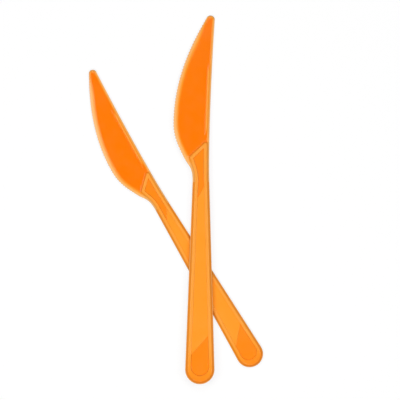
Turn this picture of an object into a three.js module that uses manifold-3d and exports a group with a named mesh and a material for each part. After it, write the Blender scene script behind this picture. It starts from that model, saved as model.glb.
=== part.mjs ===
// Two moulded plastic table knives, laid across each other as they come out of the pack.
//
// Frame: millimetres, +Z up. The upper knife's handle runs along +Y, with its cutting edge
// towards -X. The lower knife lies flat on the table at Z = 0. The upper knife leans across
// the lower one's handle and its tip touches the table. The origin is under the middle of
// the pair.
//
// Both knives are one pattern. It is drawn lying flat, with the butt end at the origin, the
// handle's axis on +Y and the underside of the handle's rim at Z = 0. Its relief is the same
// on both faces.

import * as THREE from 'three';
import { mergeVertices } from 'three/addons/utils/BufferGeometryUtils.js';
import Module from 'manifold-3d';

const wasm = await Module();
wasm.setup();

const degrees = Math.PI / 180;

// Outline of the pattern, in mm
const neckFromButt = 104;
const buttRadius = 7.57;
const neckHalfWidth = 4.33;
const tipFromNeck = 86.3;
const tipRadius = 2.2;
const tipCentreX = 4.45;
const tipEdgeAngle = 29.5 * degrees;
const spineLean = 3.5 * degrees;
const bellyFromNeck = 30.5;
const bellyReach = 14.35;
const heelFromNeck = 12.7;
const heelReach = 8.82;
const heelAngle = 27.2 * degrees;
const spineLowerPull = 20;
const spineUpperPull = 26.5;

// Front end of the handle, a slanted shoulder that the blade grows out of
const shoulderAngle = 43.4 * degrees;
const shoulderFromNeck = 24.2;
const shoulderReach = 7.15;
const shoulderTopRadius = 2;
const shoulderCornerRadius = 1.5;
const flareAngle = 14 * degrees;

// Section of the pattern
const handleThickness = 2.8;
const handleSlopeWidth = 1.45;
const bladeThickness = 1.4;
const edgeThickness = 0.4;
const spineBevelWidth = 1.4;
const bevelWidth = 2.6;
const tipBevelWidth = 1.1;
const bevelRunIn = 12;
const bladeSetIn = 0.05;
const bladeRootSetIn = 0.6;

// Teeth along the cutting edge
const toothPitch = 1.56;
const toothDepth = 0.33;
const toothRunIn = 4;

// Panels sunk into both faces of the handle. The pockets that cut them start clear of it.
const pocketClearance = 1.2;
const rimWidth = 2.7;
const shoulderRimWidth = 2.7;
const buttRimExtra = 1.5;
const middlePanelDepth = 0.35;
const endPanelDepth = 0.65;
const panelWallSlope = 0.6;
const endStepFromButt = 20.6;
const endStepAngle = 48.8 * degrees;
const neckStepFromNeck = -5.6;
const neckStepAngle = 61.5 * degrees;

// Rib along the spine of the blade
const ribHeight = 0.3;
const ribInnerEdge = 2;
const ribWallWidth = 0.6;
const ribStartFromNeck = 23.4;
const ribEndFromNeck = 61.4;
const ribEndRamp = 4.2;

// How the two knives lie
const lowerKnifeScale = 0.9187;
const crossingAngle = 31.03 * degrees;
const upperCrossingFromButt = 58.4;
const lowerCrossingFromButt = 56.95;
const restingGap = 0.3;

// Look of the moulded plastic
const plasticColour = '#ff8c28';
const plasticRoughness = 0.25;

const up = new THREE.Vector2(0, 1);

// Fullness of the outline's curves at their ends, as shares of the height that each spans
const edgeFullnessAtTip = 0.2;
const edgeFullnessAtBelly = 0.46;
const bellyFullness = 0.41;
const heelFullness = 0.34;
const rootFullnessAtHeel = 0.39;
const rootFullnessAtNeck = 0.62;
const flareFullnessAtCorner = 0.4;
const flareFullnessAtNeck = 0.5;

// Fineness of the facets: the shortest side beside a corner in mm, and numbers of steps
const shortestStep = 0.45;
const stepsPerTooth = 4;
const spineSteps = 40;
const handleSpineStride = 3;
const flareSteps = 9;
const cornerSteps = 5;
const tipSteps = 8;
const rootSteps = 6;
const ribSteps = 14;
const buttSteps = 22;
const panelEndSteps = 16;

// A unit vector turned by an angle to the left of straight up.
function leftOfUp(angle) {
  return new THREE.Vector2(-Math.sin(angle), Math.cos(angle));
}

// Taper of the handle's straight sides, which touch the round butt and end at the neck.
const neckAboveButtCentre = neckFromButt - buttRadius;
const handleTaper = Math.atan2(neckAboveButtCentre, neckHalfWidth)
  - Math.acos(buttRadius / Math.hypot(neckHalfWidth, neckAboveButtCentre));

const buttCentre = new THREE.Vector2(0, buttRadius);
const neckRight = new THREE.Vector2(neckHalfWidth, neckFromButt);
const neckLeft = new THREE.Vector2(-neckHalfWidth, neckFromButt);
const alongRightSide = leftOfUp(handleTaper);
const alongLeftSide = leftOfUp(-handleTaper);
const tipCentre = new THREE.Vector2(tipCentreX, neckFromButt + tipFromNeck - tipRadius);

function halfWidthAt(fromButt) {
  return neckHalfWidth + (neckFromButt - fromButt) * Math.tan(handleTaper);
}

function pointFrom(start, direction, distance) {
  return start.clone().addScaledVector(direction, distance);
}

function arcPoints(centre, radius, startAngle, endAngle, steps) {
  const points = [];
  for (let i = 0; i <= steps; i += 1) {
    const angle = startAngle + ((endAngle - startAngle) * i) / steps;
    const outward = new THREE.Vector2(Math.cos(angle), Math.sin(angle));
    points.push(pointFrom(centre, outward, radius));
  }
  return points;
}

// An arc that rounds the corner of the path before-corner-after.
function roundedCorner(before, corner, after, radius) {
  const back = before.clone().sub(corner).normalize();
  const ahead = after.clone().sub(corner).normalize();
  const halfAngle = Math.acos(back.dot(ahead)) / 2;
  const middle = back.clone().add(ahead).normalize();
  const centre = pointFrom(corner, middle, radius / Math.sin(halfAngle));
  const first = pointFrom(corner, back, radius / Math.tan(halfAngle)).sub(centre);
  const last = pointFrom(corner, ahead, radius / Math.tan(halfAngle)).sub(centre);
  const startAngle = first.angle();
  const turn = THREE.MathUtils.euclideanModulo(last.angle() - startAngle, 2 * Math.PI);
  return arcPoints(centre, radius, startAngle, startAngle + turn, cornerSteps);
}

// The curve of the spine, from the neck up to the tip.
function spineCurve() {
  const leanDirection = leftOfUp(-spineLean);
  const sideways = new THREE.Vector2(Math.cos(spineLean), -Math.sin(spineLean));
  const top = pointFrom(tipCentre, sideways, tipRadius);
  return new THREE.CubicBezierCurve(
    neckRight,
    pointFrom(neckRight, alongRightSide, spineLowerPull),
    pointFrom(top, leanDirection, -spineUpperPull),
    top,
  );
}

// The curves of the cutting edge, from the tip down over the belly and the heel to the neck.
function cuttingEdgeCurves() {
  const belly = new THREE.Vector2(-bellyReach, neckFromButt + bellyFromNeck);
  const heel = new THREE.Vector2(-heelReach, neckFromButt + heelFromNeck);
  const buriedEnd = new THREE.Vector2(-neckHalfWidth + bladeRootSetIn, neckFromButt);
  const sideways = new THREE.Vector2(-Math.cos(tipEdgeAngle), Math.sin(tipEdgeAngle));
  const top = pointFrom(tipCentre, sideways, tipRadius);
  const downFromTip = leftOfUp(-tipEdgeAngle).negate();
  const downAtHeel = leftOfUp(heelAngle).negate();
  const upperSpan = top.y - belly.y;
  const bellySpan = belly.y - heel.y;
  const heelSpan = heel.y - neckFromButt;
  const upper = new THREE.CubicBezierCurve(
    top,
    pointFrom(top, downFromTip, edgeFullnessAtTip * upperSpan),
    pointFrom(belly, up, edgeFullnessAtBelly * upperSpan),
    belly,
  );
  const lower = new THREE.CubicBezierCurve(
    belly,
    pointFrom(belly, up, -bellyFullness * bellySpan),
    pointFrom(heel, downAtHeel, -heelFullness * bellySpan),
    heel,
  );
  const root = new THREE.CubicBezierCurve(
    heel,
    pointFrom(heel, downAtHeel, rootFullnessAtHeel * heelSpan),
    pointFrom(buriedEnd, alongLeftSide, rootFullnessAtNeck * heelSpan),
    buriedEnd,
  );
  return [upper, lower, root];
}

// The two corners of the shoulder: on the spine, and on the side of the cutting edge.
const shoulderTop = new THREE.Vector2(0, neckFromButt + shoulderFromNeck);
shoulderTop.x = spineXAt(shoulderTop.y) + bladeSetIn;
const shoulderCorner = new THREE.Vector2(
  -shoulderReach,
  shoulderTop.y - (shoulderTop.x + shoulderReach) * Math.tan(shoulderAngle),
);

// The place of the spine at a height above the butt.
function spineXAt(y) {
  const points = spineCurve().getPoints(spineSteps);
  const above = points.findIndex((point) => point.y >= y);
  const low = points[above - 1];
  const high = points[above];
  return low.x + ((high.x - low.x) * (y - low.y)) / (high.y - low.y);
}

// The side of the handle from the shoulder's corner down to the neck.
function flareCurve() {
  const span = shoulderCorner.y - neckFromButt;
  return new THREE.CubicBezierCurve(
    shoulderCorner,
    pointFrom(shoulderCorner, leftOfUp(flareAngle), -flareFullnessAtCorner * span),
    pointFrom(neckLeft, alongLeftSide, flareFullnessAtNeck * span),
    neckLeft,
  );
}

// Points on the spine side of the handle, from the neck up.
function handleSpinePoints(upTo) {
  const below = spineCurve().getPoints(spineSteps).filter((point) => point.y < upTo);
  return below.filter((point, i) => i % handleSpineStride === 0);
}

// The handle's outline, anticlockwise from the neck's right side.
function handleOutline() {
  const rightSide = handleSpinePoints(shoulderTop.y - handleSpineStride * shoulderTopRadius);
  rightSide.forEach((point) => {
    point.x += bladeSetIn;
  });
  const flare = flareCurve().getPoints(flareSteps);
  const lastOnSpine = rightSide[rightSide.length - 1];
  const top = roundedCorner(lastOnSpine, shoulderTop, shoulderCorner, shoulderTopRadius);
  const corner = roundedCorner(shoulderTop, shoulderCorner, flare[1], shoulderCornerRadius);
  const cornerEnd = corner[corner.length - 1];
  const belowCorner = flare.filter((point) => point.y < cornerEnd.y - shortestStep);
  const butt = arcPoints(
    buttCentre, buttRadius, Math.PI - handleTaper, 2 * Math.PI + handleTaper, buttSteps,
  );
  return [...rightSide, ...top, ...corner, ...belowCorner, ...butt];
}

// Unit vectors that point into a closed anticlockwise outline, lengthened at its corners so
// that a shifted outline keeps an even distance.
function inwardVectors(outline) {
  return outline.map((point, i) => {
    const before = outline[(i + outline.length - 1) % outline.length];
    const after = outline[(i + 1) % outline.length];
    const first = point.clone().sub(before).normalize();
    const second = after.clone().sub(point).normalize();
    const firstInward = new THREE.Vector2(-first.y, first.x);
    const secondInward = new THREE.Vector2(-second.y, second.x);
    const middle = firstInward.clone().add(secondInward).normalize();
    return middle.divideScalar(Math.max(middle.dot(firstInward), 0.5));
  });
}

// One level of a solid: the outline drawn in by an amount, at a height.
function level(outline, drawnIn, height) {
  const inward = inwardVectors(outline);
  return outline.map((point, i) => {
    const shifted = pointFrom(point, inward[i], drawnIn);
    return new THREE.Vector3(shifted.x, shifted.y, height);
  });
}

// A closed solid through levels of equal point count, lowest first.
function solidThrough(levels) {
  const count = levels[0].length;
  const positions = levels.flat();
  const triangles = [];
  for (let row = 0; row < levels.length - 1; row += 1) {
    for (let i = 0; i < count; i += 1) {
      const a = row * count + i;
      const b = row * count + ((i + 1) % count);
      triangles.push([a, b, b + count], [a, b + count, a + count]);
    }
  }
  const flat = (points) => points.map((point) => new THREE.Vector2(point.x, point.y));
  const topStart = (levels.length - 1) * count;
  const lowest = THREE.ShapeUtils.triangulateShape(flat(levels[0]), []);
  const highest = THREE.ShapeUtils.triangulateShape(flat(levels[levels.length - 1]), []);
  lowest.forEach(([a, b, c]) => triangles.push([c, b, a]));
  highest.forEach(([a, b, c]) => triangles.push([a + topStart, b + topStart, c + topStart]));
  return toManifold(positions, triangles);
}

function toManifold(positions, triangles) {
  return new wasm.Manifold(new wasm.Mesh({
    numProp: 3,
    vertProperties: new Float32Array(positions.flatMap((point) => point.toArray())),
    triVerts: new Uint32Array(triangles.flat()),
  }));
}

function toGeometry(solid) {
  const mesh = solid.getMesh();
  const geometry = new THREE.BufferGeometry();
  geometry.setAttribute('position', new THREE.BufferAttribute(mesh.vertProperties, 3));
  geometry.setIndex(new THREE.BufferAttribute(mesh.triVerts, 1));
  return mergeVertices(geometry);
}

// The handle without its panels: a plate whose faces slope down to a thin edge all round.
function handleSolid() {
  const outline = handleOutline();
  const middle = handleThickness / 2;
  const halfEdge = edgeThickness / 2;
  return solidThrough([
    level(outline, handleSlopeWidth, 0),
    level(outline, 0, middle - halfEdge),
    level(outline, 0, middle + halfEdge),
    level(outline, handleSlopeWidth, handleThickness),
  ]);
}

// The blade's outline, anticlockwise from inside the handle up the spine. Each entry has a
// point, how far the teeth push it out, and how wide the slope to the blade's face is there.
function bladeOutline() {
  const plain = (point) => ({ point, push: 0, slope: spineBevelWidth });
  const spine = spineCurve().getPoints(spineSteps)
    .filter((point) => point.y > neckFromButt + heelFromNeck)
    .map(plain);
  const tipArc = arcPoints(
    tipCentre, tipRadius, -spineLean, Math.PI - tipEdgeAngle, tipSteps,
  );
  const tip = tipArc.slice(1).map((point, i) => (
    { point, push: 0, slope: tipSlope((i + 1) / tipSteps) }
  ));
  const buried = plain(new THREE.Vector2(neckHalfWidth - handleSlopeWidth, neckFromButt));
  return [...spine, ...tip, ...toothedEdge(), ...bladeRoot(), buried];
}

// Width of the slope at the tip, at a share of the way from the spine to the cutting edge.
function tipSlope(share) {
  return THREE.MathUtils.lerp(spineBevelWidth, tipBevelWidth, share);
}

// The toothed cutting edge, from the tip to the heel.
function toothedEdge() {
  const [upper, lower] = cuttingEdgeCurves();
  const path = new THREE.CurvePath();
  path.add(upper);
  path.add(lower);
  const length = path.getLength();
  const steps = Math.round(length / toothPitch) * stepsPerTooth;
  const entries = [];
  for (let i = 1; i <= steps; i += 1) {
    const share = i / steps;
    const fromTip = share * length;
    const toEnd = Math.min(fromTip, length - fromTip);
    const depth = toothDepth * THREE.MathUtils.smoothstep(toEnd, 0, toothRunIn);
    const gullet = Math.abs(Math.sin((Math.PI * i) / stepsPerTooth));
    const run = THREE.MathUtils.smoothstep(fromTip, 0, bevelRunIn);
    entries.push({
      point: path.getPointAt(share),
      push: depth * (0.5 - gullet),
      slope: THREE.MathUtils.lerp(tipBevelWidth, bevelWidth, run),
    });
  }
  return entries;
}

// The plain end of the cutting edge, from the heel into the handle.
function bladeRoot() {
  const root = cuttingEdgeCurves()[2];
  return root.getPoints(rootSteps).slice(1).map((point) => (
    { point, push: 0, slope: bevelWidth }
  ));
}

// The blade: a thin plate, bevelled along its spine and more widely along its cutting edge.
function bladeSolid() {
  const outline = bladeOutline();
  const inward = inwardVectors(outline.map(({ point }) => point));
  const middle = handleThickness / 2;
  const shiftedLevel = (shift, height) => outline.map((entry, i) => {
    const point = pointFrom(entry.point, inward[i], shift(entry));
    return new THREE.Vector3(point.x, point.y, middle + height);
  });
  return solidThrough([
    shiftedLevel(({ slope }) => slope, -bladeThickness / 2),
    shiftedLevel(({ push }) => -push, -edgeThickness / 2),
    shiftedLevel(({ push }) => -push, edgeThickness / 2),
    shiftedLevel(({ slope }) => slope, bladeThickness / 2),
  ]);
}

// One level of the rib at a height above the blade's face, between two distances from the
// spine. The rib's ends ramp up over the same rise as its walls.
function ribLevel(outerEdge, innerEdge, aboveFace, side) {
  const shorter = (ribEndRamp * aboveFace) / ribHeight;
  const start = neckFromButt + ribStartFromNeck + shorter;
  const end = neckFromButt + ribEndFromNeck - shorter;
  const z = (handleThickness + side * bladeThickness) / 2 + side * aboveFace;
  const outer = [];
  const inner = [];
  for (let i = 0; i <= ribSteps; i += 1) {
    const y = THREE.MathUtils.lerp(start, end, i / ribSteps);
    const spineX = spineXAt(y);
    outer.push(new THREE.Vector3(spineX - outerEdge, y, z));
    inner.push(new THREE.Vector3(spineX - innerEdge, y, z));
  }
  return [...outer, ...inner.reverse()];
}

// The rib: a low ridge along the spine on both faces of the blade. Its foot is buried in
// the blade, down to the thin edge of the spine.
function ribSolid() {
  const buriedDepth = (bladeThickness - edgeThickness) / 2;
  const buriedWall = ribWallWidth * (1 + buriedDepth / ribHeight);
  const foot = (side) => ribLevel(bladeSetIn, ribInnerEdge + buriedWall, -buriedDepth, side);
  const top = (side) => ribLevel(spineBevelWidth, ribInnerEdge, ribHeight, side);
  return solidThrough([top(-1), foot(-1), foot(1), top(1)]);
}

// Outline of the panels' edge, at the handle's face. It runs on past the shoulder, where
// the shoulder's own wall ends it.
function panelOutline() {
  const right = handleSpinePoints(shoulderTop.y + buttRadius);
  const flare = flareCurve().getPoints(flareSteps);
  const endCentre = new THREE.Vector2(0, buttRadius + buttRimExtra);
  const endRadius = (halfWidthAt(endCentre.y) - rimWidth) * Math.cos(handleTaper);
  const end = arcPoints(
    endCentre, endRadius, Math.PI - handleTaper, 2 * Math.PI + handleTaper, panelEndSteps,
  );
  right.forEach((point) => {
    point.x -= rimWidth;
  });
  flare.forEach((point) => {
    point.x += rimWidth;
  });
  const beyondCorner = new THREE.Vector2(flare[0].x, right[right.length - 1].y);
  return [...right, beyondCorner, ...flare, ...end];
}

// A pocket of one depth under the panels' outline, sunk from the handle's upper face.
function pocket(depth) {
  const outline = panelOutline();
  const clear = pocketClearance;
  return solidThrough([
    level(outline, panelWallSlope * depth, handleThickness - depth),
    level(outline, -panelWallSlope * clear, handleThickness + clear),
  ]);
}

// All that lies on one side of a slanted wall across the handle. The wall meets the
// handle's upper face on a line through a point, and leans back as the pockets' walls do.
function sideOfWall(through, angle, towardsTip, depth) {
  const far = neckFromButt + tipFromNeck;
  const clear = pocketClearance;
  const along = new THREE.Vector2(Math.cos(angle), Math.sin(angle));
  const across = new THREE.Vector2(-along.y, along.x).multiplyScalar(towardsTip ? 1 : -1);
  const quad = (shift) => {
    const near = pointFrom(through, across, shift);
    const corners = [
      pointFrom(near, along, -far),
      pointFrom(near, along, far),
      pointFrom(pointFrom(near, along, far), across, far),
      pointFrom(pointFrom(near, along, -far), across, far),
    ];
    return towardsTip ? corners : corners.reverse();
  };
  const atHeight = (corners, height) => (
    corners.map((point) => new THREE.Vector3(point.x, point.y, height))
  );
  return solidThrough([
    atHeight(quad(panelWallSlope * depth), handleThickness - depth),
    atHeight(quad(-panelWallSlope * clear), handleThickness + clear),
  ]);
}

// The panels of one face: the middle one, and the deeper ones at the neck and the butt.
function panelPockets() {
  const pastShoulder = leftOfUp(shoulderAngle);
  const shoulderEdge = pointFrom(shoulderTop, pastShoulder, -shoulderRimWidth);
  const endStep = new THREE.Vector2(0, endStepFromButt);
  const neckStep = new THREE.Vector2(0, neckFromButt + neckStepFromNeck);
  const behindShoulder = (depth) => sideOfWall(shoulderEdge, shoulderAngle, false, depth);
  const middlePanel = pocket(middlePanelDepth).intersect(behindShoulder(middlePanelDepth));
  const endPanel = pocket(endPanelDepth)
    .intersect(sideOfWall(endStep, endStepAngle, false, endPanelDepth));
  const neckPanel = pocket(endPanelDepth)
    .intersect(sideOfWall(neckStep, neckStepAngle, true, endPanelDepth))
    .intersect(behindShoulder(endPanelDepth));
  return middlePanel.add(endPanel).add(neckPanel);
}

// The same solid on the other face of the handle.
function turnedToUnderside(solid) {
  const geometry = toGeometry(solid);
  const position = geometry.getAttribute('position');
  const positions = [];
  for (let i = 0; i < position.count; i += 1) {
    const z = handleThickness - position.getZ(i);
    positions.push(new THREE.Vector3(position.getX(i), position.getY(i), z));
  }
  const index = geometry.getIndex();
  const triangles = [];
  for (let i = 0; i < index.count; i += 3) {
    triangles.push([index.getX(i + 2), index.getX(i + 1), index.getX(i)]);
  }
  return toManifold(positions, triangles);
}

function knifePattern() {
  const pockets = panelPockets();
  const body = handleSolid().add(bladeSolid()).add(ribSolid());
  return toGeometry(body.subtract(pockets).subtract(turnedToUnderside(pockets)));
}

function knifeMesh(name, geometry) {
  const material = new THREE.MeshStandardMaterial({
    color: plasticColour,
    roughness: plasticRoughness,
    metalness: 0,
  });
  const mesh = new THREE.Mesh(geometry, material);
  mesh.name = name;
  return mesh;
}

// The lower knife, flat on the table, turned and shifted so that its axis passes under the
// upper knife's axis at the crossing.
function lowerKnife(pattern) {
  const geometry = pattern.clone().scale(lowerKnifeScale, lowerKnifeScale, lowerKnifeScale);
  const knife = knifeMesh('lower_knife', geometry);
  const butt = pointFrom(
    new THREE.Vector2(0, upperCrossingFromButt), leftOfUp(crossingAngle), -lowerCrossingFromButt,
  );
  knife.position.set(butt.x, butt.y, 0);
  knife.rotation.z = crossingAngle;
  return knife;
}

// The line on which the upper knife bears: the far edge of the flat rim of the lower
// handle. It is turned from the upper knife's axis by the crossing and the taper.
const bearingAngle = crossingAngle + handleTaper;
const bearingHalfWidth = halfWidthAt(lowerCrossingFromButt / lowerKnifeScale) - handleSlopeWidth;
const bearingPoint = pointFrom(
  new THREE.Vector2(0, upperCrossingFromButt),
  new THREE.Vector2(Math.cos(crossingAngle), Math.sin(crossingAngle)),
  bearingHalfWidth * lowerKnifeScale,
);
const bearingHeight = handleThickness * lowerKnifeScale + restingGap;

// The angle by which the upper knife leans about that line until the rounded lower edge of
// its tip meets the table.
function leanAngle() {
  const downhill = new THREE.Vector2(Math.cos(bearingAngle), Math.sin(bearingAngle));
  const share = (bearingAngle + spineLean) / (Math.PI - tipEdgeAngle + spineLean);
  const tipReach = tipRadius - tipSlope(share);
  const reach = tipCentre.clone().sub(bearingPoint).dot(downhill) + tipReach;
  const rise = (handleThickness - bladeThickness) / 2;
  return Math.asin(bearingHeight / Math.hypot(reach, rise)) + Math.atan2(rise, reach);
}

// The upper knife, in nested groups: the outer one stands on the bearing line, the next one
// leans over it, and the inner one turns back to the knife's own axes.
function upperKnife(pattern) {
  const knife = knifeMesh('upper_knife', pattern);
  knife.position.set(-bearingPoint.x, -bearingPoint.y, 0);
  const square = new THREE.Group();
  square.rotation.z = -bearingAngle;
  square.add(knife);
  const leaning = new THREE.Group();
  leaning.rotation.y = leanAngle();
  leaning.add(square);
  const onLine = new THREE.Group();
  onLine.position.set(bearingPoint.x, bearingPoint.y, bearingHeight);
  onLine.rotation.z = bearingAngle;
  onLine.add(leaning);
  return onLine;
}

function crossedKnives() {
  const pattern = knifePattern();
  const pair = new THREE.Group();
  pair.add(lowerKnife(pattern), upperKnife(pattern));
  pair.updateMatrixWorld(true);
  const box = new THREE.Box3().setFromObject(pair, true);
  const centre = box.getCenter(new THREE.Vector3());
  pair.position.set(-centre.x, -centre.y, 0);
  const whole = new THREE.Group();
  whole.add(pair);
  return whole;
}

export default crossedKnives();
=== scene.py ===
import math

import bpy
import numpy as np
from mathutils import Matrix, Vector
from mathutils.geometry import delaunay_2d_cdt
from mathutils.kdtree import KDTree


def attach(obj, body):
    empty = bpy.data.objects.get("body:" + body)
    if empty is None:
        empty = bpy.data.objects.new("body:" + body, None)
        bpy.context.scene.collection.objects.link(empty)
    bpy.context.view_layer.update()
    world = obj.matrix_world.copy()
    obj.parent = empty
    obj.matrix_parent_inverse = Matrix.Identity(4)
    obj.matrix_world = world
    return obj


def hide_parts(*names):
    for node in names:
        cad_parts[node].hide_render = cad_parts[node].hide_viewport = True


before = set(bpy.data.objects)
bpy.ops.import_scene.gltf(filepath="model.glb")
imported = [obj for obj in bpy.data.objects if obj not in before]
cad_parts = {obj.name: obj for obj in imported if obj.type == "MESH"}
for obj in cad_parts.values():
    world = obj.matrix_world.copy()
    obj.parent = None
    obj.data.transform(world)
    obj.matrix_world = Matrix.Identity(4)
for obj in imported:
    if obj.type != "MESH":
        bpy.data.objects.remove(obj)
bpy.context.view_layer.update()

# Two moulded plastic table knives of one pattern, crossed on a table. Lengths of the
# pattern are in millimetres, as in the part's source, and MM turns them into metres.
MM = 0.001

# Outline of the pattern, seen from above, with the handle's axis on +Y
NECK_FROM_BUTT = 104.0
BUTT_RADIUS = 7.57
NECK_HALF_WIDTH = 4.33
TIP_FROM_NECK = 86.3
TIP_RADIUS = 2.2
TIP_CENTRE_X = 4.45
TIP_EDGE_ANGLE = math.radians(29.5)
SPINE_LEAN = math.radians(3.5)
BELLY_FROM_NECK = 30.5
BELLY_REACH = 14.35
HEEL_FROM_NECK = 12.7
HEEL_REACH = 8.82
HEEL_ANGLE = math.radians(27.2)
SPINE_LOWER_PULL = 20.0
SPINE_UPPER_PULL = 26.5

# Fullness of the outline's curves, as shares of the height that each spans
EDGE_FULLNESS_AT_TIP = 0.2
EDGE_FULLNESS_AT_BELLY = 0.46
BELLY_FULLNESS = 0.41
HEEL_FULLNESS = 0.34
ROOT_FULLNESS_AT_HEEL = 0.39
ROOT_FULLNESS_AT_NECK = 0.62
FLARE_FULLNESS_AT_CORNER = 0.4
FLARE_FULLNESS_AT_NECK = 0.5

# Slanted shoulder at the front end of the handle
SHOULDER_ANGLE = math.radians(43.4)
SHOULDER_FROM_NECK = 24.2
SHOULDER_REACH = 7.15
SHOULDER_TOP_RADIUS = 2.0
SHOULDER_CORNER_RADIUS = 1.5
FLARE_ANGLE = math.radians(14)

# Section of the pattern
HANDLE_THICKNESS = 2.8
HANDLE_SLOPE_WIDTH = 1.45
BLADE_THICKNESS = 1.4
EDGE_THICKNESS = 0.4
SPINE_BEVEL_WIDTH = 1.4
BEVEL_WIDTH = 2.6
TIP_BEVEL_WIDTH = 1.1
BEVEL_RUN_IN = 12.0

# Teeth along the cutting edge
TOOTH_PITCH = 1.56
TOOTH_DEPTH = 0.33
TOOTH_RUN_IN = 4.0
STEPS_PER_TOOTH = 8

# Panels sunk into both faces of the handle
RIM_WIDTH = 2.7
SHOULDER_RIM_WIDTH = 2.7
BUTT_RIM_EXTRA = 1.5
MIDDLE_PANEL_DEPTH = 0.35
END_PANEL_DEPTH = 0.65
PANEL_WALL_SLOPE = 0.6
END_STEP_FROM_BUTT = 20.6
END_STEP_ANGLE = math.radians(48.8)
NECK_STEP_FROM_NECK = -5.6
NECK_STEP_ANGLE = math.radians(61.5)

# Rib along the spine of the blade
RIB_HEIGHT = 0.3
RIB_INNER_EDGE = 2.0
RIB_WALL_WIDTH = 0.6
RIB_START_FROM_NECK = 23.4
RIB_END_FROM_NECK = 61.4
RIB_END_RAMP = 4.2

# How the two knives lie
LOWER_KNIFE_SCALE = 0.9187
CROSSING_ANGLE = math.radians(31.03)
UPPER_CROSSING_FROM_BUTT = 58.4
LOWER_CROSSING_FROM_BUTT = 56.95
RESTING_GAP = 0.3

# Paleness of the plastic by its thickness in millimetres, from 0 for the strong colour of the
# blade to 1. Thin edges are painted paler for the light they let through, and walls thicker than
# the blade are paler the thicker they are; on the rims that paleness is partly a painted
# highlight.
THIN_EDGE_PALENESS = ((0.4, 1.0), (0.74, 0.88), (0.97, 0.61), (1.2, 0.3), (1.36, 0.06), (1.4, 0.0))
THICK_WALL_PALENESS = ((1.5, 0.19), (2.1, 0.45), (2.8, 0.56))

# Paleness at the top of the rib, partly a painted highlight there, distance from the butt over
# which the thick walls, with the painted highlight on the rims, come to their full paleness, and
# how much painted shade darkens the middle of the handle's slopes
RIB_PALENESS = 0.57
BUTT_FADE = 20.0
SLOPE_SHADE = 0.1

# Colours along the scale of paleness
PALENESS_COLOURS = (
    (0.0, (1.0, 0.197, 0.0)),
    (0.06, (1.0, 0.215, 0.003)),
    (0.19, (1.0, 0.254, 0.0073)),
    (0.45, (1.0, 0.334, 0.023)),
    (0.56, (1.0, 0.365, 0.042)),
    (0.89, (0.98, 0.465, 0.135)),
    (1.0, (0.97, 0.5, 0.17)),
)

# Finish of the plastic: its shine, the range of its roughness, and how fine, how detailed and
# how strong its clouds of colour, its haze and its ripple are
PLASTIC_IOR = 1.5
SPECULAR_LEVEL = 0.22
ROUGHNESS = (0.13, 0.25)
NOISE_LOW = 0.3
NOISE_HIGH = 0.7
CLOUD_SCALE = 90.0
CLOUD_DETAIL = 3
CLOUD_DEPTH = 0.02
HAZE_SCALE = 260.0
HAZE_DETAIL = 5
RIPPLE_SCALE = 420.0
RIPPLE_DETAIL = 4
RIPPLE_HEIGHT = 0.02

# The photograph's framing: width seen at the height of the view plane, where its middle
# lies beside the upper knife's axis and ahead of its butt, and the camera's turn
VIEW_WIDTH = 206.56
VIEW_CENTRE_X = -0.38
VIEW_CENTRE_Y = 94.86
VIEW_PLANE = 2.2
VIEW_TURN = math.radians(0.3736)
LENS = 200.0
SENSOR_WIDTH = 36.0
CAMERA_RANGE = 100.0

# Lamps round the table: azimuth in degrees from +X, and power in watts
LAMPS = (
    ("left_lamp", 180, 3.25),
    ("far_lamp", 90, 2.35),
    ("right_lamp", 0, 2.6),
    ("near_lamp", 270, 3.4),
)
LAMP_ELEVATION = 60
LAMP_DISTANCE = 1.0
LAMP_SIZE = 0.5
ROOM_LIGHT = 0.1

# Backdrop: sizes in metres, fineness, and how much light it gives back to the knives and shows
# in its shadows
BACKDROP_RADIUS = 2.0
BACKDROP_BEND = 0.6
BACKDROP_HEIGHT = 2.2
BACKDROP_INNER_RING = 0.1
BACKDROP_FLOOR_RINGS = 12
BACKDROP_BEND_STEPS = 12
BACKDROP_SIDES = 96
FLOOR_CLEARANCE = 0.00005
FLOOR_BOUNCE = 0.25
SHADOW_DEPTH = 0.2

# Softness of the moulded edges: of the panels' walls, of the slopes round the handle and
# along the blade's spine, of the rib, and where the handle meets the blade
SOFT_EDGE = 0.12
SOFT_SLOPE = 0.2
SOFT_SPINE = 0.12
SOFT_RIB = 0.06
FILLET = 0.45

# Fineness of the curves, how far along the flare its direction at the corner is read, and how
# close two points count as one
BEZIER_STEPS = 200
ARC_STEPS = 60
CORNER_STEPS = 24
LEFT_SIDE_STEPS = 120
PAST_CORNER = 12
SAME_POINT = 1e-6

# Fineness of the mesh, settings of its triangulation, and how far inside each edge its rings
# of points lie
CURVE_STEP = 0.5
FILL_STEP = 0.9
FILL_CLEARANCE = 0.42
RIM_CLEARANCE = 0.012
MERGE_DISTANCE = 1e-3
TRIANGLES_INSIDE = 1
DISTANCE_CHUNK = 2000
TIP_STEPS = 16
HANDLE_RINGS = (
    0.0, 0.04, 0.15, 0.3, 0.45, 0.6, 0.75, 0.95, 1.15, 1.25, 1.35, 1.45, 1.55, 1.65, 1.78
)
PANEL_EDGE_RINGS = (-0.08, -0.04, 0.0, 0.04, 0.08)
STEP_RINGS = (0.135, 0.175, 0.21, 0.245, 0.285, 0.318, 0.355, 0.39, 0.425, 0.465)
BEVEL_RINGS = (0.3, 0.6, 0.9, 1.2, 1.5, 1.8, 2.1, 2.25, 2.4, 2.55, 2.7, 2.9)
SPINE_RINGS = (
    0.04, 0.3, 0.6, 0.85, 1.05, 1.2, 1.3, 1.4, 1.5, 1.62, 1.78, 1.9, 2.0, 2.1, 2.22, 2.38,
    2.5, 2.6, 2.7, 2.85
)


def left_of_up(angle):
    """A unit vector turned by an angle to the left of straight up."""
    return np.array([-math.sin(angle), math.cos(angle)])


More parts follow.
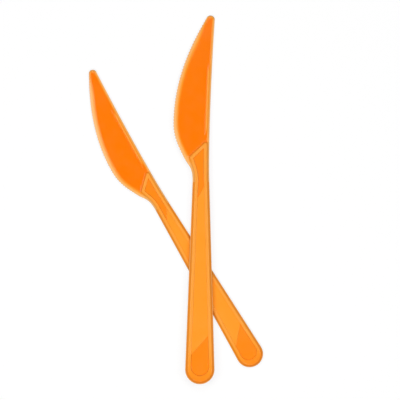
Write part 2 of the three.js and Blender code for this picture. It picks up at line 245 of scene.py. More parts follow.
# Taper of the handle's straight sides, which touch the round butt and end at the neck
NECK_ABOVE_BUTT_CENTRE = NECK_FROM_BUTT - BUTT_RADIUS
HANDLE_TAPER = math.atan2(NECK_ABOVE_BUTT_CENTRE, NECK_HALF_WIDTH) - math.acos(
    BUTT_RADIUS / math.hypot(NECK_HALF_WIDTH, NECK_ABOVE_BUTT_CENTRE)
)
BUTT_CENTRE = np.array([0.0, BUTT_RADIUS])
NECK_RIGHT = np.array([NECK_HALF_WIDTH, NECK_FROM_BUTT])
NECK_LEFT = np.array([-NECK_HALF_WIDTH, NECK_FROM_BUTT])
TIP_CENTRE = np.array([TIP_CENTRE_X, NECK_FROM_BUTT + TIP_FROM_NECK - TIP_RADIUS])
UP = np.array([0.0, 1.0])


def half_width_at(from_butt):
    """Half the width of the handle's straight part."""
    return NECK_HALF_WIDTH + (NECK_FROM_BUTT - from_butt) * math.tan(HANDLE_TAPER)


def bezier(p0, p1, p2, p3):
    t = np.linspace(0, 1, BEZIER_STEPS + 1)[:, None]
    return (1 - t) ** 3 * p0 + 3 * (1 - t) ** 2 * t * p1 + 3 * (1 - t) * t**2 * p2 + t**3 * p3


def arc(centre, radius, start, end, steps=ARC_STEPS):
    angles = np.linspace(start, end, steps + 1)[:, None]
    return centre + radius * np.hstack([np.cos(angles), np.sin(angles)])


def straight(start, end):
    return np.array([start, end])


def joined(*pieces):
    """Several runs of points as one, without the points that repeat where they meet."""
    points = np.vstack(pieces)
    moved = np.linalg.norm(np.diff(points, axis=0), axis=1) > SAME_POINT
    return points[np.concatenate([[True], moved])]


def resampled(points, step):
    """The same path with its points an even step apart."""
    lengths = np.linalg.norm(np.diff(points, axis=0), axis=1)
    along = np.concatenate([[0], np.cumsum(lengths)])
    count = max(int(round(along[-1] / step)), 1)
    places = np.linspace(0, along[-1], count + 1)
    return np.column_stack([np.interp(places, along, points[:, k]) for k in (0, 1)])


def leftward(points):
    """Unit vectors to the left of an open path."""
    ahead = np.gradient(points, axis=0)
    ahead /= np.linalg.norm(ahead, axis=1)[:, None]
    return np.column_stack([-ahead[:, 1], ahead[:, 0]])


def shifted_left(points, distance):
    return points + leftward(points) * distance


def rounded_corner(before, corner, after, radius):
    """An arc that rounds the corner of the path before-corner-after, turning left."""
    back = (before - corner) / np.linalg.norm(before - corner)
    ahead = (after - corner) / np.linalg.norm(after - corner)
    half_angle = math.acos(float(back @ ahead)) / 2
    middle = (back + ahead) / np.linalg.norm(back + ahead)
    centre = corner + middle * radius / math.sin(half_angle)
    first = corner + back * radius / math.tan(half_angle) - centre
    last = corner + ahead * radius / math.tan(half_angle) - centre
    start = math.atan2(first[1], first[0])
    turn = (math.atan2(last[1], last[0]) - start) % (2 * math.pi)
    return arc(centre, radius, start, start + turn, CORNER_STEPS)


def spine_curve():
    sideways = np.array([math.cos(SPINE_LEAN), -math.sin(SPINE_LEAN)])
    top = TIP_CENTRE + sideways * TIP_RADIUS
    return bezier(
        NECK_RIGHT,
        NECK_RIGHT + left_of_up(HANDLE_TAPER) * SPINE_LOWER_PULL,
        top - left_of_up(-SPINE_LEAN) * SPINE_UPPER_PULL,
        top,
    )


def cutting_edge():
    """The untoothed cutting edge, from the tip over the belly to the heel."""
    belly = np.array([-BELLY_REACH, NECK_FROM_BUTT + BELLY_FROM_NECK])
    heel = np.array([-HEEL_REACH, NECK_FROM_BUTT + HEEL_FROM_NECK])
    sideways = np.array([-math.cos(TIP_EDGE_ANGLE), math.sin(TIP_EDGE_ANGLE)])
    top = TIP_CENTRE + sideways * TIP_RADIUS
    upper_span = top[1] - belly[1]
    belly_span = belly[1] - heel[1]
    upper = bezier(
        top,
        top - left_of_up(-TIP_EDGE_ANGLE) * EDGE_FULLNESS_AT_TIP * upper_span,
        belly + UP * EDGE_FULLNESS_AT_BELLY * upper_span,
        belly,
    )
    lower = bezier(
        belly,
        belly - UP * BELLY_FULLNESS * belly_span,
        heel + left_of_up(HEEL_ANGLE) * HEEL_FULLNESS * belly_span,
        heel,
    )
    return joined(upper, lower)


def blade_root():
    """The plain end of the cutting edge, from the heel into the side of the handle."""
    heel = cutting_edge()[-1]
    span = heel[1] - NECK_FROM_BUTT
    return bezier(
        heel,
        heel - left_of_up(HEEL_ANGLE) * ROOT_FULLNESS_AT_HEEL * span,
        NECK_LEFT + left_of_up(-HANDLE_TAPER) * ROOT_FULLNESS_AT_NECK * span,
        NECK_LEFT,
    )


def spine_x_at(y):
    curve = spine_curve()
    return float(np.interp(y, curve[:, 1], curve[:, 0]))


SHOULDER_TOP_Y = NECK_FROM_BUTT + SHOULDER_FROM_NECK
SHOULDER_TOP = np.array([spine_x_at(SHOULDER_TOP_Y), SHOULDER_TOP_Y])
SHOULDER_CORNER = np.array([
    -SHOULDER_REACH,
    SHOULDER_TOP_Y - (SHOULDER_TOP[0] + SHOULDER_REACH) * math.tan(SHOULDER_ANGLE),
])


def flare_curve():
    """The side of the handle from the shoulder's corner down to the neck."""
    span = SHOULDER_CORNER[1] - NECK_FROM_BUTT
    return bezier(
        SHOULDER_CORNER,
        SHOULDER_CORNER - left_of_up(FLARE_ANGLE) * FLARE_FULLNESS_AT_CORNER * span,
        NECK_LEFT + left_of_up(-HANDLE_TAPER) * FLARE_FULLNESS_AT_NECK * span,
        NECK_LEFT,
    )


def butt_arc(centre=BUTT_CENTRE, radius=BUTT_RADIUS):
    """The round end of the handle, or of what follows it inside."""
    return arc(centre, radius, math.pi - HANDLE_TAPER, 2 * math.pi + HANDLE_TAPER)


def handle_outline():
    """The handle's closed outline, anticlockwise from the neck's right side."""
    spine = spine_curve()
    flare = flare_curve()
    below_top = SHOULDER_TOP_Y - 3 * SHOULDER_TOP_RADIUS
    right = spine[spine[:, 1] < below_top]
    top = rounded_corner(right[-1], SHOULDER_TOP, SHOULDER_CORNER, SHOULDER_TOP_RADIUS)
    corner = rounded_corner(
        SHOULDER_TOP, SHOULDER_CORNER, flare[PAST_CORNER], SHOULDER_CORNER_RADIUS
    )
    below = flare[flare[:, 1] < corner[-1][1]]
    return joined(right, top, corner, below, butt_arc(), NECK_RIGHT[None])


def left_boundary():
    """The left side of the knife from the heel to the neck: the blade's or the handle's."""
    root = blade_root()[::-1]
    flare = flare_curve()[::-1]
    heights = np.linspace(NECK_FROM_BUTT, root[-1][1], LEFT_SIDE_STEPS)
    blade_x = np.interp(heights, root[:, 1], root[:, 0])
    flare_x = np.interp(heights, flare[:, 1], flare[:, 0])
    return np.column_stack([np.minimum(blade_x, flare_x), heights])[::-1]


def smooth_max(a, b, width):
    """The larger of two values, with the crease between them rounded."""
    blend = np.maximum(width - np.abs(a - b), 0)
    return np.maximum(a, b) + blend**2 / (4 * width)


def smooth_min(a, b, width):
    return -smooth_max(-a, -b, width)


def eased(share):
    """A share from 0 to 1 that starts and ends gently."""
    return share**2 * (3 - 2 * share)


def toothed_edge():
    """The cutting edge with its teeth: pointed crests and rounded gullets."""
    smooth = cutting_edge()
    length = np.linalg.norm(np.diff(smooth, axis=0), axis=1).sum()
    steps = int(round(length / TOOTH_PITCH)) * STEPS_PER_TOOTH
    points = resampled(smooth, length / steps)
    place = np.arange(steps + 1)
    to_end = np.minimum(place, steps - place) * length / steps
    run = np.clip(to_end / TOOTH_RUN_IN, 0, 1)
    depth = TOOTH_DEPTH * eased(run)
    gullet = np.abs(np.sin(np.pi * place / STEPS_PER_TOOTH))
    push = depth * (0.5 - gullet)
    return shifted_left(points, -push[:, None])


def tip_arc():
    return arc(TIP_CENTRE, TIP_RADIUS, -SPINE_LEAN, math.pi - TIP_EDGE_ANGLE, TIP_STEPS)


def knife_outline():
    """The whole knife's closed outline, anticlockwise from the neck's right side."""
    return joined(
        resampled(spine_curve(), CURVE_STEP),
        tip_arc(),
        toothed_edge(),
        resampled(left_boundary(), CURVE_STEP),
        resampled(butt_arc(), CURVE_STEP),
        resampled(straight(butt_arc()[-1], NECK_RIGHT), CURVE_STEP)[:-1],
    )


def distance_to(path, points):
    """Distance from each point to an open path, exact for its straight steps."""
    start = path[:-1]
    step = path[1:] - start
    nearest = np.empty(len(points))
    for first in range(0, len(points), DISTANCE_CHUNK):
        chunk = slice(first, first + DISTANCE_CHUNK)
        offset = points[chunk][:, None] - start
        share = (offset * step).sum(2) / np.maximum((step**2).sum(1), SAME_POINT**2)
        gap = offset - np.clip(share, 0, 1)[..., None] * step
        nearest[chunk] = np.sqrt((gap**2).sum(2).min(1))
    return nearest


def inside(outline, points):
    """Whether each point is inside a closed outline."""
    a = outline
    b = np.roll(outline, -1, axis=0)
    crossings = np.zeros(len(points), int)
    for (ax, ay), (bx, by) in zip(a, b):
        spans = (ay > points[:, 1]) != (by > points[:, 1])
        height = by - ay if by != ay else 1.0
        x = ax + (points[:, 1] - ay) * (bx - ax) / height
        crossings += spans & (points[:, 0] < x)
    return crossings % 2 == 1


def signed_distance(outline, points):
    """Distance to a closed outline, positive inside."""
    closed = np.vstack([outline, outline[:1]])
    return np.where(inside(outline, points), 1, -1) * distance_to(closed, points)


def panel_side():
    """The edge of the panels along both sides of the handle and round the butt."""
    spine = spine_curve()
    past = SHOULDER_TOP_Y + BUTT_RADIUS
    right = spine[spine[:, 1] < past] - [RIM_WIDTH, 0]
    flare = flare_curve() + [RIM_WIDTH, 0]
    beyond = np.array([[flare[0][0], past]])
    end_centre = np.array([0.0, BUTT_RADIUS + BUTT_RIM_EXTRA])
    end_radius = (half_width_at(end_centre[1]) - RIM_WIDTH) * math.cos(HANDLE_TAPER)
    return joined(beyond, flare, butt_arc(end_centre, end_radius), right)


def ahead_of_line(through, angle, points):
    """Distance of each point ahead of a slanted line, on the tip's side of it."""
    return (points - through) @ left_of_up(angle)


SHOULDER_EDGE = SHOULDER_TOP - left_of_up(SHOULDER_ANGLE) * SHOULDER_RIM_WIDTH
END_STEP = np.array([0.0, END_STEP_FROM_BUTT])
NECK_STEP = np.array([0.0, NECK_FROM_BUTT + NECK_STEP_FROM_NECK])


def panel_depth(points):
    """How deep the panels are sunk at each point."""
    from_side = signed_distance(panel_side(), points)
    from_shoulder = -ahead_of_line(SHOULDER_EDGE, SHOULDER_ANGLE, points)
    within = smooth_min(from_side, from_shoulder, SOFT_EDGE)
    wall = smooth_max(within / PANEL_WALL_SLOPE, 0, SOFT_EDGE)

    def step_down(distance):
        below_middle = distance / PANEL_WALL_SLOPE - MIDDLE_PANEL_DEPTH
        full = END_PANEL_DEPTH - MIDDLE_PANEL_DEPTH
        return smooth_max(smooth_min(below_middle, full, SOFT_EDGE), 0, SOFT_EDGE)

    behind_end = -ahead_of_line(END_STEP, END_STEP_ANGLE, points)
    ahead_of_neck = ahead_of_line(NECK_STEP, NECK_STEP_ANGLE, points)
    floor = MIDDLE_PANEL_DEPTH + step_down(behind_end) + step_down(ahead_of_neck)
    return smooth_min(wall, floor, SOFT_EDGE)


def handle_height(points):
    """Half the handle's thickness, without its panels; its slope runs on outside it."""
    distance = signed_distance(handle_outline(), points)
    full = HANDLE_THICKNESS / 2
    half_edge = EDGE_THICKNESS / 2
    slope = half_edge + (full - half_edge) * distance / HANDLE_SLOPE_WIDTH
    return smooth_min(slope, full, SOFT_SLOPE)


def distance_to_spine(points):
    """Distance to the spine and the half of the round tip that carries it on."""
    spine = joined(spine_curve(), tip_arc()[:TIP_STEPS // 2 + 1])
    return distance_to(spine, points)


def plain_blade_height(points):
    """Half the blade's thickness at each point, without its rib; 0 outside the blade."""
    full = BLADE_THICKNESS / 2
    half_edge = EDGE_THICKNESS / 2
    edge = joined(tip_arc()[TIP_STEPS // 2:], cutting_edge(), blade_root())
    run = np.clip((TIP_CENTRE[1] - points[:, 1]) / BEVEL_RUN_IN, 0, 1)
    width = TIP_BEVEL_WIDTH + (BEVEL_WIDTH - TIP_BEVEL_WIDTH) * eased(run)
    bevel = half_edge + (full - half_edge) * distance_to(edge, points) / width
    spine_bevel = half_edge + (full - half_edge) * distance_to_spine(points) / SPINE_BEVEL_WIDTH
    height = smooth_min(smooth_min(bevel, full, SOFT_EDGE), spine_bevel, SOFT_SPINE)
    outline = joined(spine_curve(), tip_arc(), cutting_edge(), blade_root(), NECK_LEFT[None])
    return np.where(inside(outline, points), np.maximum(height, half_edge), 0)


def ridge_height(points):
    """Half the thickness at each point of the rib, taken as endless on its own slopes."""
    face = BLADE_THICKNESS / 2
    top = face + RIB_HEIGHT
    half_edge = EDGE_THICKNESS / 2
    from_spine = distance_to_spine(points)
    outer = half_edge + (top - half_edge) * from_spine / SPINE_BEVEL_WIDTH
    inner = top + RIB_HEIGHT * (RIB_INNER_EDGE - from_spine) / RIB_WALL_WIDTH
    start = NECK_FROM_BUTT + RIB_START_FROM_NECK
    end = NECK_FROM_BUTT + RIB_END_FROM_NECK
    to_end = np.minimum(points[:, 1] - start, end - points[:, 1])
    ramp = face + RIB_HEIGHT * to_end / RIB_END_RAMP
    ridge = smooth_min(smooth_min(outer, inner, SOFT_RIB), top, SOFT_RIB)
    return smooth_min(ridge, ramp, SOFT_RIB)


def knife_height(points, plain_blade, ridge, handle, panels):
    """Half the knife's thickness at each point, from the heights of its forms there."""
    room = signed_distance(knife_outline(), points)
    blade = smooth_max(plain_blade, ridge, SOFT_RIB)
    fillet = np.clip(room, RIM_CLEARANCE, FILLET)
    whole = np.where(plain_blade > 0, smooth_max(handle, blade, fillet), handle) - panels
    return np.maximum(whole, EDGE_THICKNESS / 2)


def looked_up(values, table):
    """Values turned into those of a table of pairs, in a straight line between its rows."""
    return np.interp(values, [entry[0] for entry in table], [entry[1] for entry in table])


def blade_paleness(plain_blade, ridge):
    """How pale the blade is: paler at its thin edges with painted light let through, and paler as
    its rib rises, partly as a painted highlight.
    """
    rise = np.clip((ridge - BLADE_THICKNESS / 2) / RIB_HEIGHT, 0, 1)
    # The rib's paleness is partly that of its thicker plastic and partly a painted highlight on
    # its raised top.
    return np.maximum(looked_up(2 * plain_blade, THIN_EDGE_PALENESS), RIB_PALENESS * rise**3)


def handle_paleness(points, handle, panels):
    """How pale the handle is, by the thickness of its wall and how near it is to the butt; on the
    rims this is partly a painted highlight, which fades towards the butt.
    """
    wall = 2 * (handle - panels)
    thinnest = HANDLE_THICKNESS - 2 * END_PANEL_DEPTH
    faded = np.clip(points[:, 1] / BUTT_FADE, 0, 1)
    # Near the butt the thick walls are less pale: the painted highlight on the rims fades there.
    wall_with_butt_fade = thinnest + np.maximum(wall - thinnest, 0) * faded
    return np.maximum(
        looked_up(wall, THIN_EDGE_PALENESS), looked_up(wall_with_butt_fade, THICK_WALL_PALENESS)
    )


def paleness_and_painted_shade(points, plain_blade, ridge, handle, panels):
    """How pale the plastic is at each point, and how much painted shade darkens it."""
    full_rise = (HANDLE_THICKNESS - BLADE_THICKNESS) / 2
    above_blade = np.where(plain_blade > 0, handle - BLADE_THICKNESS / 2, full_rise)
    share = np.clip(above_blade / full_rise, 0, 1)
    on_blade = blade_paleness(plain_blade, ridge)
    paleness = on_blade + (handle_paleness(points, handle, panels) - on_blade) * share
    half_edge = EDGE_THICKNESS / 2
    # Painted shade: the handle's slopes are made darker, most halfway up each slope.
    up_slope = np.clip((handle - half_edge) / (HANDLE_THICKNESS / 2 - half_edge), 0, 1)
    halfway = 4 * up_slope * (1 - up_slope)
    return paleness, 1 - SLOPE_SHADE * np.where(above_blade > 0, halfway, 0)


def fill_points(outline, taken):
    """A plain grid of points inside the outline, away from the points already there."""
    low = outline.min(0)
    high = outline.max(0)
    rows = np.arange(low[1], high[1], FILL_STEP * math.sqrt(3) / 2)
    columns = np.arange(low[0], high[0], FILL_STEP)
    grid = np.array([
        (x + (FILL_STEP / 2 if i % 2 else 0), y)
        for i, y in enumerate(rows)
        for x in columns
    ])
    grid = grid[inside(outline, grid)]
    tree = KDTree(len(taken))
    for i, (x, y) in enumerate(taken):
        tree.insert((x, y, 0), i)
    tree.balance()
    clear = [tree.find((x, y, 0))[2] > FILL_CLEARANCE for x, y in grid]
    return grid[clear]


def kept_runs(path, keep):
    """The runs of an open path whose points are kept."""
    runs = []
    run = []
    for point, kept in zip(path, keep):
        if kept:
            run.append(point)
        if run and not kept:
            runs.append(run)
            run = []
    if run:
        runs.append(run)
    return [np.array(run) for run in runs if len(run) > 1]


def closed_ring(outline, distance):
    """A closed outline moved inward by a distance."""
    ring = np.vstack([outline, outline[:1]])
    ring = resampled(ring, CURVE_STEP)
    ahead = np.roll(ring[:-1], -1, axis=0) - np.roll(ring[:-1], 1, axis=0)
    ahead /= np.linalg.norm(ahead, axis=1)[:, None]
    inward = np.column_stack([-ahead[:, 1], ahead[:, 0]])
    moved = ring[:-1] + inward * distance
    return np.vstack([moved, moved[:1]])


def slanted_line(through, angle, ahead):
    """A slanted line across the whole knife, moved ahead by a distance."""
    along = np.array([math.cos(angle), math.sin(angle)])
    start = through + left_of_up(angle) * ahead
    reach = 2 * HEEL_REACH
    return resampled(straight(start - along * reach, start + along * reach), CURVE_STEP)


def feature_paths():
    """Paths that the mesh follows, so that each rounding and wall comes out crisp."""
    outline = knife_outline()
    handle = handle_outline()
    side = panel_side()
    paths = []

    def add(path, *regions):
        keep = signed_distance(outline, path) > RIM_CLEARANCE
        for closed, least in regions:
            keep &= signed_distance(closed, path) > least
        paths.extend(kept_runs(path, keep))

    def add_on_blade(path):
        keep = signed_distance(outline, path) > RIM_CLEARANCE
        keep &= signed_distance(handle, path) < FILLET
        paths.extend(kept_runs(path, keep))

    for distance in HANDLE_RINGS:
        add(closed_ring(handle, distance))
    ahead_of_panels = ahead_of_line(SHOULDER_EDGE, SHOULDER_ANGLE, side)
    panel = resampled(side[ahead_of_panels < CURVE_STEP], CURVE_STEP)
    for distance in PANEL_EDGE_RINGS + STEP_RINGS:
        add(shifted_left(panel, distance))
        add(slanted_line(SHOULDER_EDGE, SHOULDER_ANGLE, -distance), (side, 0))
    for distance in STEP_RINGS:
        add(slanted_line(END_STEP, END_STEP_ANGLE, -distance), (side, 0))
        add(slanted_line(NECK_STEP, NECK_STEP_ANGLE, distance), (side, 0))
    edge = resampled(joined(cutting_edge(), blade_root()), CURVE_STEP)
    for distance in BEVEL_RINGS:
        add_on_blade(shifted_left(edge, distance))
    spine = resampled(spine_curve(), CURVE_STEP)
    for distance in SPINE_RINGS:
        add_on_blade(shifted_left(spine, distance))
    return paths


def plan_mesh():
    """Triangles in plan: the outline's points come first, in order."""
    outline = knife_outline()
    points = [tuple(point) for point in outline]
    edges = []
    for path in feature_paths():
        first = len(points)
        points.extend(tuple(point) for point in path)
        edges.extend((first + i, first + i + 1) for i in range(len(path) - 1))
    points.extend(tuple(point) for point in fill_points(outline, points))
    found = delaunay_2d_cdt(
        [Vector(point) for point in points],
        edges,
        [list(range(len(outline)))],
        TRIANGLES_INSIDE,
        MERGE_DISTANCE,
    )
    vertices = np.array([tuple(vertex) for vertex in found[0]])
    origin = {source: i for i, sources in enumerate(found[3]) for source in sources}
    rim = [origin[i] for i in range(len(outline))]
    return vertices, [list(face) for face in found[2]], rim


def pattern_mesh(name):
    """The knife as a mesh, in millimetres, with the middle of its thickness at Z = 0."""
    plan, faces, rim = plan_mesh()
    forms = (
        plain_blade_height(plan), ridge_height(plan), handle_height(plan), panel_depth(plan)
    )
    height = knife_height(plan, *forms)
    height[rim] = EDGE_THICKNESS / 2
    # The second value is the painted shade of the handle's slopes.
    paleness, painted_slope_shade = paleness_and_painted_shade(plan, *forms)
    count = len(plan)
    upper = np.column_stack([plan, height])
    lower = np.column_stack([plan, -height])
    under = [[vertex + count for vertex in reversed(face)] for face in faces]
    side = [
        [a, a + count, b + count, b] for a, b in zip(rim, rim[1:] + rim[:1])
    ]
    mesh = bpy.data.meshes.new(name)
    mesh.from_pydata(np.vstack([upper, lower]).tolist(), [], faces + under + side)
    mesh.update()
    mesh.polygons.foreach_set("use_smooth", [True] * len(mesh.polygons))
    for attribute_name, values in (("paleness", paleness), ("painted_slope_shade", painted_slope_shade)):
        attribute = mesh.attributes.new(attribute_name, "FLOAT", "POINT")
        attribute.data.foreach_set("value", np.concatenate([values, values]))
    return mesh


def plastic_material():
    """Glossy moulded plastic with faint clouds of colour, haze and ripple; its colour holds
    painted light at thin edges, painted highlights on the rims and rib, and painted shade on the
    handle's slopes.
    """
    material = bpy.data.materials.new("orange_plastic")
    material.use_nodes = True
    nodes = material.node_tree.nodes
    links = material.node_tree.links
    shader = nodes["Principled BSDF"]
    shader.inputs["IOR"].default_value = PLASTIC_IOR
    shader.inputs["Specular IOR Level"].default_value = SPECULAR_LEVEL
    place = nodes.new("ShaderNodeTexCoord")

    def noise(scale, detail):
        texture = nodes.new("ShaderNodeTexNoise")
        texture.inputs["Scale"].default_value = scale
        texture.inputs["Detail"].default_value = detail
        links.new(place.outputs["Object"], texture.inputs["Vector"])
        return texture.outputs["Fac"]

    def mapped(value, low, high):
        span = nodes.new("ShaderNodeMapRange")
        span.inputs["From Min"].default_value = NOISE_LOW
        span.inputs["From Max"].default_value = NOISE_HIGH
        span.inputs["To Min"].default_value = low
        span.inputs["To Max"].default_value = high
        links.new(value, span.inputs["Value"])
        return span.outputs["Result"]

    # Paleness holds painted light at thin edges and painted highlights on the rims and rib.
    paleness = nodes.new("ShaderNodeAttribute")
    paleness.attribute_name = "paleness"
    cloudy = nodes.new("ShaderNodeMath")
    cloudy.operation = "ADD"
    links.new(paleness.outputs["Fac"], cloudy.inputs[0])
    clouds = noise(CLOUD_SCALE, CLOUD_DETAIL)
    links.new(mapped(clouds, -CLOUD_DEPTH, CLOUD_DEPTH), cloudy.inputs[1])
    ramp = nodes.new("ShaderNodeValToRGB")
    links.new(cloudy.outputs["Value"], ramp.inputs["Fac"])
    stops = ramp.color_ramp.elements
    while len(stops) < len(PALENESS_COLOURS):
        stops.new(1.0)
    for stop, (position, colour) in zip(stops, PALENESS_COLOURS):
        stop.position = position
        stop.color = (*colour, 1)
    # Painted shade darkens the colour in the middle of the handle's slopes.
    painted_slope_shade = nodes.new("ShaderNodeAttribute")
    painted_slope_shade.attribute_name = "painted_slope_shade"
    dimmed = nodes.new("ShaderNodeVectorMath")
    dimmed.operation = "SCALE"
    links.new(ramp.outputs["Color"], dimmed.inputs["Vector"])
    links.new(painted_slope_shade.outputs["Fac"], dimmed.inputs["Scale"])
    links.new(dimmed.outputs["Vector"], shader.inputs["Base Color"])
    haze = noise(HAZE_SCALE, HAZE_DETAIL)
    links.new(mapped(haze, *ROUGHNESS), shader.inputs["Roughness"])
    bump = nodes.new("ShaderNodeBump")
    bump.inputs["Strength"].default_value = 1.0
    bump.inputs["Distance"].default_value = RIPPLE_HEIGHT * MM
    links.new(noise(RIPPLE_SCALE, RIPPLE_DETAIL), bump.inputs["Height"])
    links.new(bump.outputs["Normal"], shader.inputs["Normal"])
    return material


def lie_of_lower_knife():
    """Where the lower knife lies: smaller, turned, and flat on the table."""
    butt = np.array([0.0, UPPER_CROSSING_FROM_BUTT])
    butt = butt - left_of_up(CROSSING_ANGLE) * LOWER_CROSSING_FROM_BUTT
    return (
        Matrix.Translation((butt[0], butt[1], 0))
        @ Matrix.Rotation(CROSSING_ANGLE, 4, "Z")
        @ Matrix.Scale(LOWER_KNIFE_SCALE, 4)
        @ Matrix.Translation((0, 0, HANDLE_THICKNESS / 2))
    )


def lie_of_upper_knife():
    """Where the upper knife lies: over the edge of the lower handle, its tip on the table."""
    bearing_angle = CROSSING_ANGLE + HANDLE_TAPER
    at_crossing = half_width_at(LOWER_CROSSING_FROM_BUTT / LOWER_KNIFE_SCALE)
    across = np.array([math.cos(CROSSING_ANGLE), math.sin(CROSSING_ANGLE)])
    bearing_x, bearing_y = np.array([0.0, UPPER_CROSSING_FROM_BUTT]) + (
        across * (at_crossing - HANDLE_SLOPE_WIDTH) * LOWER_KNIFE_SCALE
    )
    bearing_height = HANDLE_THICKNESS * LOWER_KNIFE_SCALE + RESTING_GAP
    downhill = np.array([math.cos(bearing_angle), math.sin(bearing_angle)])
    share = (bearing_angle + SPINE_LEAN) / (math.pi - TIP_EDGE_ANGLE + SPINE_LEAN)
    tip_slope = SPINE_BEVEL_WIDTH + (TIP_BEVEL_WIDTH - SPINE_BEVEL_WIDTH) * share
    to_tip = float((TIP_CENTRE - [bearing_x, bearing_y]) @ downhill)
    reach = to_tip + TIP_RADIUS - tip_slope
    rise = (HANDLE_THICKNESS - BLADE_THICKNESS) / 2
    lean = math.asin(bearing_height / math.hypot(reach, rise)) + math.atan2(rise, reach)
    turn = Matrix.Rotation(bearing_angle, 4, "Z")
    return (
        Matrix.Translation((bearing_x, bearing_y, bearing_height))
        @ turn
        @ Matrix.Rotation(lean, 4, "Y")
        @ turn.inverted()
        @ Matrix.Translation((-bearing_x, -bearing_y, HANDLE_THICKNESS / 2))
    )


def make_knife(pattern, name, node, lie, material):
    """One knife of the pattern, in the pair's own frame, standing for its CAD node."""
    mesh = pattern.copy()
    mesh.name = name
    mesh.transform(lie)
    mesh.materials.append(material)
    piece = bpy.data.objects.new(name, mesh)
    bpy.context.scene.collection.objects.link(piece)
    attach(piece, "root")
    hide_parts(node)
    return piece


def make_knives():
    """Both knives, set down in the part's frame; gives the middle of the pair's own frame."""
    pattern = pattern_mesh("knife_pattern")
    material = plastic_material()
    pieces = [
        make_knife(pattern, "lower_knife_moulding", "lower_knife", lie_of_lower_knife(), material),
        make_knife(pattern, "upper_knife_moulding", "upper_knife", lie_of_upper_knife(), material),
    ]
    bpy.data.meshes.remove(pattern)
    corners = np.array([vertex.co for piece in pieces for vertex in piece.data.vertices])
    middle = (corners.min(0) + corners.max(0)) / 2
    for piece in pieces:
        piece.data.transform(Matrix.Translation((-middle[0], -middle[1], 0)))
        piece.data.transform(Matrix.Scale(MM, 4))
    return middle


def make_camera(pair_middle):
    """Straight down on the pair, with the photograph's framing; gives the point aimed at."""
    aim = Vector((VIEW_CENTRE_X - pair_middle[0], VIEW_CENTRE_Y - pair_middle[1], VIEW_PLANE)) * MM
    data = bpy.data.cameras.new("camera")
    data.lens = LENS
    data.sensor_width = SENSOR_WIDTH
    data.clip_end = CAMERA_RANGE
    camera = bpy.data.objects.new("camera", data)
    camera.location = aim + Vector((0, 0, VIEW_WIDTH * MM * LENS / SENSOR_WIDTH))
    camera.rotation_euler = (0, 0, VIEW_TURN)
    bpy.context.scene.collection.objects.link(camera)
    bpy.context.scene.camera = camera
    return aim


def make_lamp(name, aim, azimuth, power):
    """A round area lamp that faces the point aimed at."""
    data = bpy.data.lights.new(name, "AREA")
    data.shape = "DISK"
    data.size = LAMP_SIZE
    data.energy = power
    lamp = bpy.data.objects.new(name, data)
    a = math.radians(azimuth)
    e = math.radians(LAMP_ELEVATION)
    away = Vector((math.cos(a) * math.cos(e), math.sin(a) * math.cos(e), math.sin(e)))
    lamp.location = aim + away * LAMP_DISTANCE
    lamp.rotation_mode = "QUATERNION"
    lamp.rotation_quaternion = away.to_track_quat("Z", "Y")
    bpy.context.scene.collection.objects.link(lamp)


def make_lights(aim):
    """Four soft lamps round the table and a dim even room."""
    for name, azimuth, power in LAMPS:
        make_lamp(name, aim, azimuth, power)
    world = bpy.data.worlds.new("studio")
    bpy.context.scene.world = world
    world.use_nodes = True
    background = world.node_tree.nodes["Background"]
    background.inputs["Color"].default_value = (1, 1, 1, 1)
    background.inputs["Strength"].default_value = ROOM_LIGHT


def backdrop_profile():
    """The backdrop's section: flat floor, then a quarter bend, then a wall."""
    floor = np.linspace(BACKDROP_INNER_RING, BACKDROP_RADIUS, BACKDROP_FLOOR_RINGS)
    rings = [(radius, 0.0) for radius in floor]
    for angle in np.linspace(0, math.pi / 2, BACKDROP_BEND_STEPS + 1)[1:]:
        rings.append((
            BACKDROP_RADIUS + BACKDROP_BEND * math.sin(angle),
            BACKDROP_BEND * (1 - math.cos(angle)),
        ))
    rings.append((BACKDROP_RADIUS + BACKDROP_BEND, BACKDROP_HEIGHT))
    return rings


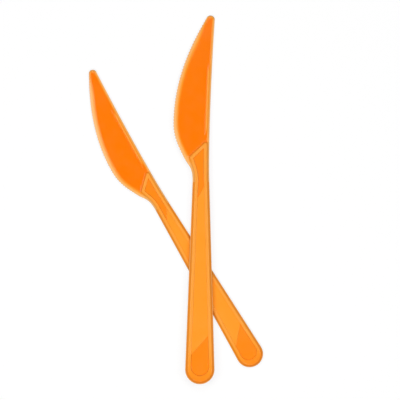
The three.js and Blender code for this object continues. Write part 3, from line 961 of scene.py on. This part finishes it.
def make_backdrop():
    """A round pale floor that bends up into a wall."""
    sides = BACKDROP_SIDES
    rings = backdrop_profile()
    points = [(0.0, 0.0, 0.0)]
    for radius, height in rings:
        for i in range(sides):
            angle = 2 * math.pi * i / sides
            points.append((radius * math.cos(angle), radius * math.sin(angle), height))
    faces = [(0, 1 + i, 1 + (i + 1) % sides) for i in range(sides)]
    for ring in range(len(rings) - 1):
        inner = 1 + ring * sides
        outer = inner + sides
        for i in range(sides):
            j = (i + 1) % sides
            faces.append((inner + i, outer + i, outer + j, inner + j))
    mesh = bpy.data.meshes.new("backdrop")
    mesh.from_pydata(points, [], faces)
    mesh.polygons.foreach_set("use_smooth", [True] * len(mesh.polygons))
    mesh.materials.append(backdrop_material())
    backdrop = bpy.data.objects.new("backdrop", mesh)
    backdrop.location = (0, 0, -FLOOR_CLEARANCE)
    bpy.context.scene.collection.objects.link(backdrop)


def backdrop_material():
    """White where it is seen, mirrored or seen through, with the shadow kept; else grey."""
    material = bpy.data.materials.new("pale_backdrop")
    material.use_nodes = True
    nodes = material.node_tree.nodes
    links = material.node_tree.links
    nodes.remove(nodes["Principled BSDF"])
    plain = nodes.new("ShaderNodeBsdfDiffuse")
    plain.inputs["Color"].default_value = (FLOOR_BOUNCE, FLOOR_BOUNCE, FLOOR_BOUNCE, 1)
    shaded = nodes.new("ShaderNodeBsdfDiffuse")
    shaded.inputs["Color"].default_value = (SHADOW_DEPTH, SHADOW_DEPTH, SHADOW_DEPTH, 1)
    white = nodes.new("ShaderNodeEmission")
    white.inputs["Strength"].default_value = 1 - SHADOW_DEPTH
    seen = nodes.new("ShaderNodeAddShader")
    links.new(shaded.outputs["BSDF"], seen.inputs[0])
    links.new(white.outputs["Emission"], seen.inputs[1])
    path = nodes.new("ShaderNodeLightPath")
    mirrored = nodes.new("ShaderNodeMath")
    mirrored.operation = "MAXIMUM"
    links.new(path.outputs["Is Glossy Ray"], mirrored.inputs[0])
    links.new(path.outputs["Is Transmission Ray"], mirrored.inputs[1])
    looked_at = nodes.new("ShaderNodeMath")
    looked_at.operation = "MAXIMUM"
    links.new(path.outputs["Is Camera Ray"], looked_at.inputs[0])
    links.new(mirrored.outputs["Value"], looked_at.inputs[1])
    mix = nodes.new("ShaderNodeMixShader")
    links.new(looked_at.outputs["Value"], mix.inputs["Fac"])
    links.new(plain.outputs["BSDF"], mix.inputs[1])
    links.new(seen.outputs["Shader"], mix.inputs[2])
    links.new(mix.outputs["Shader"], nodes["Material Output"].inputs["Surface"])
    return material


bpy.context.scene.view_settings.view_transform = "Standard"
aim_point = make_camera(make_knives())
make_lights(aim_point)
make_backdrop()
